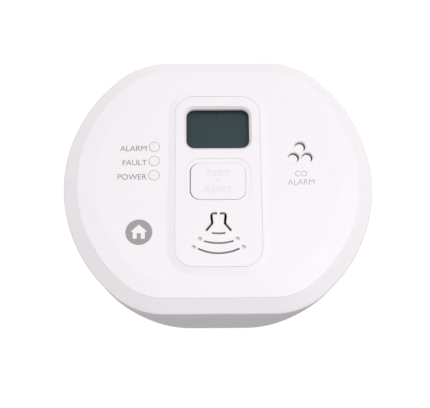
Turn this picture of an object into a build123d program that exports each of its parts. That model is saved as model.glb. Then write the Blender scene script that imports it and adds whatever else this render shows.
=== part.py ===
from build123d import *
import os
from math import sqrt

# A carbon monoxide alarm for a wall: a sealed battery unit that slides down onto a mounting plate.
# Millimetres. The origin is the centre of the plate's wall face, +Z is up, +X is to the right and
# the alarm faces -Y. A "depth" is a distance from the wall, so depth d is the plane y = -d.

# ---- Outer form ----------------------------------------------------------------------------
rim_radius = 60.0  # the widest outline is a circle of this radius,
rim_flat_cut = 7.5  # cut flat by this much at the top and at the bottom,
rim_blend = 28.0  # with this radius where a flat meets the circle
rear_inset = 5.0  # the sides taper in by this much from the rim to the rear edge
rear_flat_cut = 7.0
rear_blend = 44.0
rear_depth = 1.0
rim_depth = 39.55
seam_to_rim = 13.0
seam_gap = 0.35
bevel_width = 5.15
bevel_rise = 2.6
step_inset = 0.35
step_rise = 0.3
band_width = 7.0
band_rise = 0.7
rim_softness = 0.7
rear_softness = 1.2
wall = 2.0
front_wall = 2.2
tongue_height = 3.0
tongue_clearance = 0.15

# ---- Raised panel with the display, button and horn slots --------------------------------------
panel_width = 33.2
panel_height = 70.8
panel_corner = 7.5
panel_slope_x = 2.9
panel_slope_z = 3.1
panel_rise = 0.7
panel_z = 0.0
panel_edge = 1.0
panel_groove = 0.2  # width and depth of the fine groove that draws the panel's edge

# ---- Display -----------------------------------------------------------------------------------
window_width = 24.7
window_height = 16.9
window_corner = 3.2
window_frame = 1.0
window_z = 21.8
pane_lip = 1.4
pane_thickness = 1.2
glass_margin = 0.7
glass_thickness = 2.0
light_guide_thickness = 2.2
bezel_wall = 1.2
zebra_thickness = 1.8

# ---- Test button and the switch under it -------------------------------------------------------
button_width = 21.2
button_height = 15.1
button_corner = 3.8
button_z = -0.9
button_rise = 0.15
button_gap = 0.1
button_left_ease = 0.26  # the opening is this much wider on the left
button_lip = 1.2
button_lip_thickness = 1.0
button_skin = 1.6
button_travel = 0.5
button_stem = 5.0
moat_width = 2.0
moat_depth = 0.12
tact_size = 6.2
tact_height = 4.0
tact_wall = 0.5
plunger_radius = 1.7
plunger_flange = 2.3

# ---- Status lights -----------------------------------------------------------------------------
light_x = -24.8
light_pitch = 6.0
light_top_z = 13.9
light_radius = 2.0
light_gap = 0.12
light_proud = 0.15
light_flange = 0.9
led_width = 3.2
led_height = 2.8
led_thickness = 1.2

# ---- Gas holes and sensor ----------------------------------------------------------------------
gas_x = 32.1
gas_z = 10.7
gas_ring_radius = 3.05
gas_hole_radius = 2.1
gas_countersink = 0.35
gas_pad_radius = 1.8  # a pad closes all of each hole but a crescent at its upper right
gas_pad_shift_x = -0.3
gas_pad_shift_z = -0.5
gas_pad_recess = 0.6
sensor_radius = 9.0
sensor_cap_height = 1.4
sensor_inlet_radius = 5.4
sensor_gasket_height = 1.6
sensor_pin_length = 1.2

# ---- Horn --------------------------------------------------------------------------------------
horn_disc_radius = 13.0
horn_disc_thickness = 0.3
ceramic_radius = 9.0
ceramic_thickness = 0.2
chamber_wall = 1.3
chamber_shoulder = 1.2
horn_gasket_height = 0.8
horn_air_gap = 5.0
mesh_thickness = 0.2
slot_wide = 0.95
slot_narrow = 0.7
dimple_radius = 0.75
dimple_depth = 1.3
dimples = [(side * x, z) for side in (-1, 1) for x, z in ((7.1, -24.3), (9.4, -27.6))]

# ---- Battery, board and what stands on it ------------------------------------------------------
battery_radius = 8.5
battery_length = 33.5
battery_z = -22.0
sleeve_thickness = 0.25
battery_gap = 0.4
board_gap = 1.5
board_thickness = 1.6
board_margin = 1.2
tab_thickness = 0.3
tab_width = 6.0

# ---- Mounting plate, hooks and power switch ----------------------------------------------------
plate_width = 54.0
plate_height = 66.0
plate_corner = 6.0
plate_thickness = 2.4
plate_clearance = 0.4
plate_front_gap = 0.6
slide_travel = 5.0
hook_x = 22.0
hook_width = 6.0
hook_stem = 3.0
hook_lip = 4.2
hook_lip_thickness = 1.8
hook_upper_z = 15.0
hook_clearance = 0.3
screw_slot_width = 4.5
screw_slot_length = 8.5
screw_slot_spacing = 44.0
screw_countersink = 1.4
finger_z = -2.0
finger_width = 7.0
finger_length = 15.0
finger_cut = 1.0
finger_bump = 0.4
switch_z = 8.0  # keeps the fork below the upper wall screw and its driver
switch_width = 8.0
switch_depth = 5.4
slider_width = 2.6
slider_height = 3.0
slider_clearance = 0.3
prong_thickness = 2.0
prong_width = 5.0
prong_reach = 6.5

# ---- Screws ------------------------------------------------------------------------------------
post_inset = 19.0
post_radius = 3.5
housing_screw_radius = 1.45
housing_screw_length = 12.0
housing_head_radius = 2.7
housing_head_height = 2.0
screw_seat = 4.0
screw_clearance = 0.25
board_screw_radius = 1.1
board_screw_length = 7.0
board_head_radius = 2.1
board_head_height = 1.4
pillar_radius = 3.0
pillar_upper_x = 23.0
pillar_side_inset = 4.2
pillar_side_z = -16.0

# ---- Depths and places that follow from the sizes above ----------------------------------------
seam_depth = rim_depth - seam_to_rim
edge_depth = rim_depth + bevel_rise
step_depth = edge_depth + step_rise
face_depth = step_depth + band_rise
panel_depth = face_depth + panel_rise
button_depth = panel_depth + button_rise
ceiling_depth = face_depth - front_wall
panel_ceiling = panel_depth - front_wall
collar_rear = ceiling_depth - 0.5
floor_rear = plate_thickness + plate_front_gap
floor_front = floor_rear + wall
battery_axis = floor_front + battery_gap + sleeve_thickness + battery_radius
board_rear = battery_axis + battery_radius + sleeve_thickness + board_gap
board_front = board_rear + board_thickness
light_zs = [light_top_z - light_pitch * step for step in range(3)]
post_x = rim_radius - rear_inset - post_inset
post_z = rim_radius - rear_inset - rear_flat_cut - post_inset
posts = [(post_x, post_z), (-post_x, post_z), (-post_x, -post_z), (post_x, -post_z)]
boss_top = board_rear - 1.5

bezel_width = window_width + 2 * (pane_lip + glass_margin + bezel_wall)
bezel_height = window_height + 2 * (pane_lip + glass_margin + bezel_wall)
button_lip_bottom = button_z - button_height / 2 - button_lip
chamber_radius = horn_disc_radius + 0.2 + chamber_wall
horn_z = button_lip_bottom - 1.2 - chamber_radius

board_top = window_z + bezel_height / 2 + board_margin
board_bottom = horn_z - chamber_radius - board_margin
board_arm_x = post_x + 6.0
board_arm_z = gas_z + sensor_radius + board_margin
board_neck_x = post_x - post_radius - 2.2
pillar_upper_z = board_top - pillar_radius - 1.0
pillar_side_x = board_arm_x - pillar_side_inset
pillars = [(pillar_upper_x, pillar_upper_z), (-pillar_upper_x, pillar_upper_z),
           (-pillar_side_x, pillar_side_z), (pillar_side_x, pillar_side_z)]

hooks = [(side * hook_x, z) for side in (-1, 1) for z in (hook_upper_z, battery_z - 2.0)]
hook_reach = floor_front + hook_clearance + hook_lip_thickness


# ---- Shapes used by more than one piece ---------------------------------------------------------
def at_depth(depth):
    """The plane parallel to the wall at a depth, with X to the right and Z up."""
    return Plane.XZ.offset(depth)


def flattened_circle(radius, flat_cut, blend):
    """A circle cut flat at the top and bottom, rounded where the flats meet it."""
    with BuildSketch(mode=Mode.PRIVATE) as shape:
        Circle(radius)
        Rectangle(2 * radius, 2 * (radius - flat_cut), mode=Mode.INTERSECT)
        fillet(shape.vertices(), blend)
    return shape.sketch


def side_outline(depth, inset=0.0):
    """The outline of the tapering sides at a depth, or a line that lies inset from it."""
    share = (depth - rear_depth) / (rim_depth - rear_depth)
    radius = rim_radius - rear_inset * (1 - share)
    flat_cut = rear_flat_cut + (rim_flat_cut - rear_flat_cut) * share
    blend = rear_blend + (rim_blend - rear_blend) * share
    return flattened_circle(radius - inset, flat_cut, blend - inset)


def front_outline(inset):
    """The rim's outline, drawn in by an amount, which shapes every step of the front."""
    return flattened_circle(rim_radius - inset, rim_flat_cut, rim_blend - inset)


def loft_between(lower, lower_depth, upper, upper_depth, mode=Mode.ADD):
    """A solid between two outlines at two depths, added to or cut from the part being built."""
    with BuildPart() as step:
        with BuildSketch(at_depth(lower_depth)):
            add(lower)
        with BuildSketch(at_depth(upper_depth)):
            add(upper)
        loft()
    add(step.part, mode=mode)


def sides(depth_from, depth_to, inset=0.0, sections=5, mode=Mode.ADD):
    """The tapering sides between two depths, smooth through several outlines."""
    with BuildPart() as taper:
        for section in range(sections):
            depth = depth_from + (depth_to - depth_from) * section / (sections - 1)
            with BuildSketch(at_depth(depth)):
                add(side_outline(depth, inset))
        loft()
    add(taper.part, mode=mode)


def disc(radius, depth_from, depth_to, x=0.0, z=0.0, mode=Mode.ADD):
    """A round bar or hole square to the wall, between two depths."""
    with BuildPart() as bar:
        with BuildSketch(at_depth(depth_from)):
            with Locations((x, z)):
                Circle(radius)
        extrude(amount=depth_to - depth_from)
    add(bar.part, mode=mode)


def block(width, height, depth_from, depth_to, x=0.0, z=0.0, corner=0.0, mode=Mode.ADD):
    """A rectangular pad or pocket between two depths, with rounded corners if asked."""
    with BuildPart() as pad:
        with BuildSketch(at_depth(depth_from)):
            with Locations((x, z)):
                if corner:
                    RectangleRounded(width, height, corner)
                else:
                    Rectangle(width, height)
        extrude(amount=depth_to - depth_from)
    add(pad.part, mode=mode)


def finish(piece, name):
    """Name a finished piece and write it out."""
    piece.part.label = name
    export_step(piece.part, f"parts/{name}.step")


def horn_slots():
    """The slots of the horn: a bell's two sides with three sound waves below it."""
    with BuildSketch(mode=Mode.PRIVATE) as slots:
        for side in (-1, 1):
            with BuildLine(mode=Mode.PRIVATE) as bell_side:
                FilletPolyline((side * 0.55, -14.1), (side * 2.8, -14.1), (side * 2.4, -18.1),
                               (side * 4.8, -21.1), radius=0.8)
            trace(bell_side.line, line_width=slot_wide)
        for half_width, end_z, sag in ((2.55, -22.0, 0.2), (5.55, -25.2, 0.85), (7.8, -28.2, 1.85)):
            with BuildLine(mode=Mode.PRIVATE) as wave:
                ThreePointArc((-half_width, end_z), (0, end_z - sag), (half_width, end_z))
            trace(wave.line, line_width=slot_narrow)
    return slots.sketch


os.makedirs("parts", exist_ok=True)

# ---- Front cover: skirt, bevelled rim, crowned face and raised panel ----------------------------
gas_holes = [(gas_x + gas_ring_radius * x, gas_z + gas_ring_radius * z)
             for x, z in ((0.0, 1.0), (-sqrt(0.75), -0.5), (sqrt(0.75), -0.5))]

with BuildPart() as front_cover:
    skirt_depth = seam_depth + seam_gap
    step_start = bevel_width + step_inset
    sides(skirt_depth, rim_depth)
    loft_between(front_outline(0), rim_depth, front_outline(bevel_width), edge_depth)
    fillet(front_cover.edges().filter_by(
        lambda edge: abs(edge.center().Y + rim_depth) < 0.01), rim_softness)
    with BuildSketch(at_depth(edge_depth)):
        add(front_outline(step_start))
    extrude(amount=step_rise)
    loft_between(front_outline(step_start), step_depth,
                 front_outline(step_start + band_width), face_depth)
    with BuildSketch(at_depth(face_depth)):
        with Locations((0, panel_z)):
            RectangleRounded(panel_width + 2 * panel_slope_x, panel_height + 2 * panel_slope_z,
                             panel_corner + panel_slope_z)
    with BuildSketch(at_depth(panel_depth)):
        with Locations((0, panel_z)):
            RectangleRounded(panel_width, panel_height, panel_corner)
    loft()

    with BuildPart() as groove:
        block(panel_width + panel_groove, panel_height + panel_groove, panel_depth - panel_groove,
              panel_depth, z=panel_z, corner=panel_corner + panel_groove / 2)
        block(panel_width - panel_groove, panel_height - panel_groove, panel_depth - panel_groove,
              panel_depth, z=panel_z, corner=panel_corner - panel_groove / 2, mode=Mode.SUBTRACT)
    add(groove.part, mode=Mode.SUBTRACT)

    # The hollow behind the face, and the deeper one behind the raised panel.
    inner_rim_depth = rim_depth - wall
    sides(skirt_depth, inner_rim_depth, wall, 3, Mode.SUBTRACT)
    loft_between(side_outline(inner_rim_depth, wall), inner_rim_depth,
                 front_outline(bevel_width + wall), ceiling_depth, Mode.SUBTRACT)
    block(panel_width - 2 * panel_edge, panel_height - 2 * panel_edge, ceiling_depth, panel_ceiling,
          z=panel_z, corner=panel_corner - panel_edge, mode=Mode.SUBTRACT)

    # The rebate inside the skirt that the housing's tongue slides into.
    with BuildSketch(at_depth(skirt_depth)):
        add(side_outline(seam_depth, wall / 2))
    extrude(amount=tongue_height, mode=Mode.SUBTRACT)

    # The collar that the horn's chamber stands against.
    disc(chamber_radius, collar_rear, panel_ceiling, z=horn_z)
    disc(chamber_radius - chamber_wall, collar_rear, ceiling_depth, z=horn_z, mode=Mode.SUBTRACT)
    with BuildSketch(at_depth(ceiling_depth)) as collar_roof:
        with Locations((0, horn_z)):
            Circle(chamber_radius - chamber_wall)
        with Locations((0, panel_z)):
            Rectangle(panel_width - 2 * panel_edge, panel_height - 2 * panel_edge,
                      mode=Mode.INTERSECT)
    extrude(amount=panel_ceiling - ceiling_depth, mode=Mode.SUBTRACT)

    # Four posts that take the housing screws.
    for x, z in posts:
        disc(post_radius, boss_top, ceiling_depth, x, z)
        disc(housing_screw_radius + 0.05, boss_top, boss_top + housing_screw_length, x, z,
             Mode.SUBTRACT)

    # Display window, with a small frame around its mouth.
    block(window_width, window_height, panel_ceiling, panel_depth, z=window_z,
          corner=window_corner, mode=Mode.SUBTRACT)
    window_mouth = front_cover.edges().filter_by(
        lambda edge: abs(edge.center().Y + panel_depth) < 0.01
        and abs(edge.center().X) < window_width / 2 + 0.1
        and abs(edge.center().Z - window_z) < window_height / 2 + 0.1)
    chamfer(window_mouth, window_frame)

    # Shallow moat and opening for the button.
    block(button_width + 2 * moat_width, button_height + 2 * moat_width, panel_depth - moat_depth,
          panel_depth, z=button_z, corner=button_corner + moat_width, mode=Mode.SUBTRACT)
    block(button_width + 2 * button_gap + button_left_ease, button_height + 2 * button_gap,
          panel_ceiling, panel_depth, x=-button_left_ease / 2, z=button_z,
          corner=button_corner + button_gap, mode=Mode.SUBTRACT)

    # Holes for the status lights and the gas.
    for z in light_zs:
        disc(light_radius + light_gap, ceiling_depth, face_depth, light_x, z, Mode.SUBTRACT)
    for x, z in gas_holes:
        disc(gas_hole_radius, ceiling_depth, face_depth, x, z, Mode.SUBTRACT)
    gas_mouths = front_cover.edges().filter_by(GeomType.CIRCLE).filter_by(
        lambda edge: abs(edge.center().Y + face_depth) < 0.01
        and abs(edge.radius - gas_hole_radius) < 0.01)
    chamfer(gas_mouths, gas_countersink)
    for x, z in gas_holes:
        disc(gas_pad_radius, ceiling_depth, face_depth - gas_pad_recess, x + gas_pad_shift_x,
             z + gas_pad_shift_z)

    with BuildSketch(at_depth(panel_ceiling)):
        add(horn_slots())
    extrude(amount=front_wall, mode=Mode.SUBTRACT)
    for x, z in dimples:
        disc(dimple_radius, panel_depth - dimple_depth, panel_depth, x, z, Mode.SUBTRACT)
finish(front_cover, "front_cover")

# ---- Rear housing: tapering tub with a pocket for the plate --------------------------------------
pocket_width = plate_width + 2 * plate_clearance
pocket_top = plate_height / 2 + plate_clearance
pocket_bottom = -plate_height / 2 - slide_travel - plate_clearance
pocket_height = pocket_top - pocket_bottom
pocket_z = (pocket_top + pocket_bottom) / 2
prong_gap = slider_height / 2 + slider_clearance
prong_span = 2 * (prong_gap + prong_thickness)

with BuildPart() as rear_housing:
    sides(rear_depth, seam_depth)
    fillet(rear_housing.edges().filter_by(
        lambda edge: abs(edge.center().Y + rear_depth) < 0.01), rear_softness)
    inner_rear_depth = rear_depth + wall
    sides(inner_rear_depth, seam_depth, wall, 3, Mode.SUBTRACT)

    # The tongue that stands up inside the cover's skirt.
    with BuildSketch(at_depth(seam_depth)):
        add(side_outline(seam_depth, wall / 2 + tongue_clearance))
        add(side_outline(seam_depth, wall), mode=Mode.SUBTRACT)
    extrude(amount=tongue_height)

    # Screw bosses, with deep counterbores from behind.
    for x, z in posts:
        disc(housing_head_radius + screw_clearance + 1.6, rear_depth + 0.5, boss_top, x, z)
        disc(housing_head_radius + screw_clearance, rear_depth, boss_top - screw_seat, x, z,
             Mode.SUBTRACT)
        disc(housing_screw_radius + screw_clearance, rear_depth, boss_top, x, z, Mode.SUBTRACT)

    # Pillars that carry the circuit board.
    for x, z in pillars:
        disc(pillar_radius, rear_depth + 0.5, board_rear, x, z)
        disc(board_screw_radius + 0.05, board_rear - board_screw_length, board_rear, x, z,
             Mode.SUBTRACT)

    # The plate's pocket, open to the wall.
    block(pocket_width + 2 * wall, pocket_height + 2 * wall, rear_depth, floor_front, z=pocket_z,
          corner=plate_corner + wall)
    block(pocket_width, pocket_height, rear_depth, floor_rear, z=pocket_z,
          corner=plate_corner, mode=Mode.SUBTRACT)

    # Slots for the hooks and for the fork, long enough for the slide.
    for x, z in hooks:
        slot_top = z + hook_stem / 2 + hook_clearance
        slot_bottom = z - hook_stem / 2 - slide_travel - hook_clearance
        block(hook_width + 2 * hook_clearance, slot_top - slot_bottom, floor_rear, floor_front,
              x, (slot_top + slot_bottom) / 2, mode=Mode.SUBTRACT)
    fork_top = switch_z + prong_span / 2 + slider_clearance
    fork_bottom = switch_z - prong_span / 2 - slide_travel - slider_clearance
    block(prong_width + 2 * slider_clearance, fork_top - fork_bottom, floor_rear, floor_front,
          z=(fork_top + fork_bottom) / 2, mode=Mode.SUBTRACT)

    # Two saddles that cradle the battery.
    for x in (-battery_length / 4, battery_length / 4):
        block(2.4, 2 * battery_radius, floor_front - 0.5, battery_axis, x, battery_z)
    with BuildSketch(Plane.YZ.offset(-battery_length / 2)):
        with Locations((-battery_axis, battery_z)):
            Circle(battery_radius + sleeve_thickness)
    extrude(amount=battery_length, mode=Mode.SUBTRACT)
finish(rear_housing, "rear_housing")

# ---- Rating label, left blank, on the rear --------------------------------------------------------
with BuildPart() as rating_label:
    block(11.0, 34.0, rear_depth - 0.12, rear_depth, -(pocket_width / 2 + wall + 9.0), 0.0, 1.5)
finish(rating_label, "rating_label")

# ---- Mounting plate, screwed to the wall ------------------------------------------------------------
with BuildPart() as mounting_plate:
    block(plate_width, plate_height, 0, plate_thickness, corner=plate_corner)
    fillet(mounting_plate.edges().filter_by(Plane.XZ).group_by(Axis.Y)[0], 0.5)
    for z in (screw_slot_spacing / 2, -screw_slot_spacing / 2):
        with BuildSketch(at_depth(0)):
            with Locations((0, z)):
                SlotOverall(screw_slot_length, screw_slot_width, rotation=90)
        extrude(amount=plate_thickness, mode=Mode.SUBTRACT)
    slot_mouths = mounting_plate.edges().filter_by(
        lambda edge: abs(edge.center().Y + plate_thickness) < 0.01
        and abs(edge.center().X) < screw_slot_length / 2
        and abs(abs(edge.center().Z) - screw_slot_spacing / 2) < screw_slot_length / 2 + 0.1)
    chamfer(slot_mouths, screw_countersink)

    # Hooks: a stem through the housing's slot, with a lip that reaches up behind its floor.
    for x, z in hooks:
        block(hook_width, hook_stem, plate_thickness - 0.2, hook_reach, x, z)
        block(hook_width, hook_stem + hook_lip, hook_reach - hook_lip_thickness, hook_reach,
              x, z + hook_lip / 2)

    # The fork that holds the power switch's slider still while the alarm slides.
    for side in (-1, 1):
        block(prong_width, prong_thickness, plate_thickness - 0.2, floor_front + prong_reach,
              z=switch_z + side * (prong_gap + prong_thickness / 2))

    # A springy finger beside each edge, with a bump that bears on the pocket's floor.
    for side in (-1, 1):
        x = side * (plate_width / 2 - finger_width)
        block(finger_width + 2 * finger_cut, finger_length, 0, plate_thickness, x, finger_z,
              mode=Mode.SUBTRACT)
        block(finger_width, finger_length - finger_cut + 0.2, 0.6, plate_thickness, x,
              finger_z + finger_cut / 2 + 0.1)
        disc(1.6, plate_thickness - 0.2, plate_thickness + finger_bump, x,
             finger_z - finger_length / 2 + finger_cut + 2.2)
finish(mounting_plate, "mounting_plate")

# ---- Screws: a pan head with a cross recess on a plain shank ----------------------------------------
with BuildPart() as housing_screws:
    seat_depth = boss_top - screw_seat
    for x, z in posts:
        disc(housing_head_radius, seat_depth - housing_head_height, seat_depth, x, z)
        disc(housing_screw_radius, seat_depth, seat_depth + housing_screw_length, x, z)
        for turn in (0, 90):
            with BuildSketch(at_depth(seat_depth - housing_head_height)):
                with Locations((x, z)):
                    Rectangle(3.0, 0.7, rotation=turn)
            extrude(amount=1.1, mode=Mode.SUBTRACT)
finish(housing_screws, "housing_screws")

with BuildPart() as board_screws:
    for x, z in pillars:
        disc(board_head_radius, board_front, board_front + board_head_height, x, z)
        disc(board_screw_radius, board_front - board_screw_length, board_front, x, z)
        for turn in (0, 90):
            with BuildSketch(at_depth(board_front + board_head_height)):
                with Locations((x, z)):
                    Rectangle(2.4, 0.6, rotation=turn)
            extrude(amount=-0.8, mode=Mode.SUBTRACT)
finish(board_screws, "board_screws")

# ---- Circuit board: a cross that passes between the four posts ---------------------------------------
with BuildPart() as circuit_board:
    with BuildSketch(at_depth(board_rear)) as board_outline:
        Rectangle(2 * board_arm_x, 2 * board_arm_z)
        with Locations((0, (board_top + board_bottom) / 2)):
            Rectangle(2 * board_neck_x, board_top - board_bottom)
        fillet(board_outline.vertices(), 2.5)
    extrude(amount=board_thickness)
    for x, z in pillars:
        disc(board_screw_radius + 0.15, board_rear, board_front, x, z, Mode.SUBTRACT)
finish(circuit_board, "circuit_board")

# ---- Display: pane, glass, light guide, bezel and the two rubber connector strips ---------------------
pane_front = panel_ceiling
glass_front = pane_front - pane_thickness
glass_rear = glass_front - glass_thickness
guide_rear = glass_rear - light_guide_thickness
glass_width = window_width + 2 * pane_lip
glass_height = window_height + 2 * pane_lip

with BuildPart() as display_window:
    block(glass_width, glass_height, glass_front, pane_front, z=window_z, corner=window_corner + 0.8)
finish(display_window, "display_window")

with BuildPart() as lcd_glass:
    block(glass_width, glass_height, glass_rear, glass_front, z=window_z)
finish(lcd_glass, "lcd_glass")

guide_height = glass_height - 2 * (zebra_thickness + 0.3)
with BuildPart() as lcd_light_guide:
    block(glass_width, guide_height, guide_rear, glass_rear, z=window_z)
finish(lcd_light_guide, "lcd_light_guide")

with BuildPart() as lcd_zebra_strips:
    for side in (-1, 1):
        block(glass_width - 3.0, zebra_thickness, board_front, glass_rear,
              z=window_z + side * (glass_height - zebra_thickness) / 2)
finish(lcd_zebra_strips, "lcd_zebra_strips")

with BuildPart() as lcd_bezel:
    block(bezel_width, bezel_height, board_front, glass_front, z=window_z, corner=1.5)
    block(bezel_width - 2 * bezel_wall, bezel_height - 2 * bezel_wall, board_front, glass_front,
          z=window_z, mode=Mode.SUBTRACT)
    for side in (-1, 1):
        block(bezel_width - bezel_wall, bezel_wall, board_front, guide_rear,
              z=window_z + side * guide_height / 4)
finish(lcd_bezel, "lcd_bezel")

# ---- Test button: cap, retaining lip and stem ------------------------------------------------------
lip_front = panel_ceiling - 0.15
plunger_top = board_front + tact_height + 1.2
with BuildPart() as test_button:
    block(button_width, button_height, lip_front - button_lip_thickness, button_depth, z=button_z,
          corner=button_corner)
    fillet(test_button.edges().filter_by(Plane.XZ).group_by(Axis.Y)[0], 0.2)
    block(button_width + 2 * button_lip, button_height + 2 * button_lip,
          lip_front - button_lip_thickness, lip_front, z=button_z, corner=button_corner + button_lip)
    block(button_width - 2 * button_skin, button_height - 2 * button_skin,
          lip_front - button_lip_thickness, button_depth - button_skin, z=button_z,
          corner=button_corner - button_skin, mode=Mode.SUBTRACT)
    block(button_stem, 1.4, plunger_top + 0.1, button_depth - button_skin + 0.2, z=button_z)
    block(1.4, button_stem, plunger_top + 0.1, button_depth - button_skin + 0.2, z=button_z)
    disc(2.0, plunger_top + 0.1, plunger_top + 1.1, z=button_z)
finish(test_button, "test_button")

# ---- Tactile switch: body, snap dome and plunger -----------------------------------------------------
tact_floor = board_front + 0.9
tact_lid = board_front + tact_height - tact_wall
flange_top = tact_lid - 0.1
flange_bottom = flange_top - 0.6
with BuildPart() as tact_switch_body:
    block(tact_size, tact_size, board_front, board_front + tact_height, z=button_z, corner=0.4)
    disc(plunger_flange + 0.3, tact_floor, tact_lid, z=button_z, mode=Mode.SUBTRACT)
    disc(plunger_radius + 0.2, tact_lid, board_front + tact_height, z=button_z, mode=Mode.SUBTRACT)
finish(tact_switch_body, "tact_switch_body")

dome_height = flange_bottom - button_travel - 0.1 - tact_floor
with BuildPart() as tact_switch_dome:
    with BuildSketch(at_depth(tact_floor)):
        with Locations((0, button_z)):
            Circle(plunger_flange)
    with BuildSketch(at_depth(tact_floor + dome_height)):
        with Locations((0, button_z)):
            Circle(plunger_flange - 1.3)
    loft()
    disc(plunger_flange - 1.6, tact_floor, tact_floor + dome_height - 0.25, z=button_z,
         mode=Mode.SUBTRACT)
finish(tact_switch_dome, "tact_switch_dome")

with BuildPart() as tact_switch_plunger:
    disc(plunger_flange, flange_bottom, flange_top, z=button_z)
    disc(plunger_radius, flange_top - 0.1, plunger_top, z=button_z)
finish(tact_switch_plunger, "tact_switch_plunger")

# ---- Status lights: a light pipe in the cover over a small lamp on the board --------------------------
led_top = board_front + led_thickness + 0.9
for name, z in zip(("alarm", "fault", "power"), light_zs):
    with BuildPart() as light_pipe:
        disc(light_radius, led_top + 0.4, face_depth + light_proud, light_x, z)
        disc(light_radius + light_flange, ceiling_depth - 1.0, ceiling_depth, light_x, z)
        fillet(light_pipe.edges().filter_by(Plane.XZ).group_by(Axis.Y)[0], 0.25)
    finish(light_pipe, f"{name}_light_pipe")

    with BuildPart() as led:
        block(led_width, led_height, board_front, board_front + led_thickness, light_x, z)
        disc(led_height / 2 - 0.2, board_front + led_thickness, led_top, light_x, z)
    finish(led, f"{name}_led")

# ---- Carbon monoxide sensor: can, crimped cap, filter, gasket and pins ---------------------------------
gasket_rear = ceiling_depth - sensor_gasket_height
cap_rear = gasket_rear - sensor_cap_height
can_rear = board_front + sensor_pin_length
with BuildPart() as sensor_can:
    disc(sensor_radius - 0.5, can_rear, cap_rear, gas_x, gas_z)
    fillet(sensor_can.edges().filter_by(Plane.XZ).group_by(Axis.Y)[-1], 0.6)
finish(sensor_can, "sensor_can")

with BuildPart() as sensor_cap:
    disc(sensor_radius, cap_rear - 2.0, gasket_rear, gas_x, gas_z)
    disc(sensor_radius - 0.5, cap_rear - 2.0, cap_rear, gas_x, gas_z, Mode.SUBTRACT)
    disc(sensor_inlet_radius, cap_rear, gasket_rear, gas_x, gas_z, Mode.SUBTRACT)
finish(sensor_cap, "sensor_cap")

with BuildPart() as sensor_filter:
    disc(sensor_inlet_radius, cap_rear, gasket_rear - 0.3, gas_x, gas_z)
finish(sensor_filter, "sensor_filter")

with BuildPart() as sensor_gasket:
    disc(sensor_radius - 0.8, gasket_rear, ceiling_depth, gas_x, gas_z)
    disc(gas_ring_radius + gas_hole_radius + 0.5, gasket_rear, ceiling_depth, gas_x, gas_z,
         Mode.SUBTRACT)
finish(sensor_gasket, "sensor_gasket")

with BuildPart() as sensor_pins:
    for x, z in ((0.0, 5.0), (-4.3, -2.5), (4.3, -2.5)):
        disc(0.5, board_front, can_rear, gas_x + x, gas_z + z)
finish(sensor_pins, "sensor_pins")

# ---- Horn: a resonant chamber on the board with a piezo disc across it ---------------------------------
chamber_front = collar_rear - mesh_thickness
shoulder_front = chamber_front - horn_air_gap
disc_front = shoulder_front - chamber_shoulder
disc_rear = disc_front - horn_disc_thickness
ceramic_rear = disc_rear - ceramic_thickness
bore = chamber_radius - chamber_wall
with BuildPart() as horn_chamber:
    disc(chamber_radius, board_front, chamber_front, z=horn_z)
    disc(bore, board_front, disc_front, z=horn_z, mode=Mode.SUBTRACT)
    disc(bore - 1.2, disc_front, shoulder_front, z=horn_z, mode=Mode.SUBTRACT)
    disc(bore, shoulder_front, chamber_front, z=horn_z, mode=Mode.SUBTRACT)
    for side in (-1, 1):
        block(chamber_wall * 3, 5.0, board_front, board_front + 2.5, side * chamber_radius, horn_z,
              mode=Mode.SUBTRACT)
finish(horn_chamber, "horn_chamber")

with BuildPart() as horn_disc:
    disc(horn_disc_radius, disc_rear, disc_front, z=horn_z)
finish(horn_disc, "horn_disc")

with BuildPart() as horn_ceramic:
    disc(ceramic_radius, ceramic_rear, disc_rear, z=horn_z)
finish(horn_ceramic, "horn_ceramic")

with BuildPart() as horn_gasket:
    disc(horn_disc_radius, disc_rear - horn_gasket_height, disc_rear, z=horn_z)
    disc(horn_disc_radius - 1.0, disc_rear - horn_gasket_height, disc_rear, z=horn_z,
         mode=Mode.SUBTRACT)
finish(horn_gasket, "horn_gasket")

with BuildPart() as horn_contacts:
    for x, tip in ((-11.0, disc_rear), (0.0, ceramic_rear), (6.0, ceramic_rear)):
        with BuildSketch(Plane.XY.offset(horn_z - 0.75)):
            with BuildLine():
                FilletPolyline((x - 1.2, -board_front), (x + 1.2, -board_front),
                               (x - 0.8, -(board_front + tip) / 2), (x + 0.3, 0.2 - tip), radius=0.5)
                offset(amount=0.1, side=Side.RIGHT)
            make_face()
        extrude(amount=1.5)
finish(horn_contacts, "horn_contacts")

with BuildPart() as horn_grille_mesh:
    disc(chamber_radius, chamber_front, collar_rear, z=horn_z)
finish(horn_grille_mesh, "horn_grille_mesh")

# ---- Sealed lithium battery: cell, shrink sleeve and welded tabs ---------------------------------------
with BuildPart() as battery_cell:
    with BuildSketch(Plane.YZ.offset(-battery_length / 2)):
        with Locations((-battery_axis, battery_z)):
            Circle(battery_radius)
    extrude(amount=battery_length)
    fillet(battery_cell.edges().filter_by(Plane.YZ), 0.8)
finish(battery_cell, "battery_cell")

with BuildPart() as battery_sleeve:
    with BuildSketch(Plane.YZ.offset(-battery_length / 2 + 1.0)):
        with Locations((-battery_axis, battery_z)):
            Circle(battery_radius + sleeve_thickness)
            Circle(battery_radius, mode=Mode.SUBTRACT)
    extrude(amount=battery_length - 2.0)
finish(battery_sleeve, "battery_sleeve")

with BuildPart() as battery_tabs:
    for side in (-1, 1):
        x = side * (battery_length + tab_thickness) / 2
        block(tab_thickness, tab_width, battery_axis - 3.0, board_rear, x, battery_z)
        block(3.0, tab_width, board_rear - tab_thickness, board_rear, x + side * 1.35, battery_z)
finish(battery_tabs, "battery_tabs")

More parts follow.
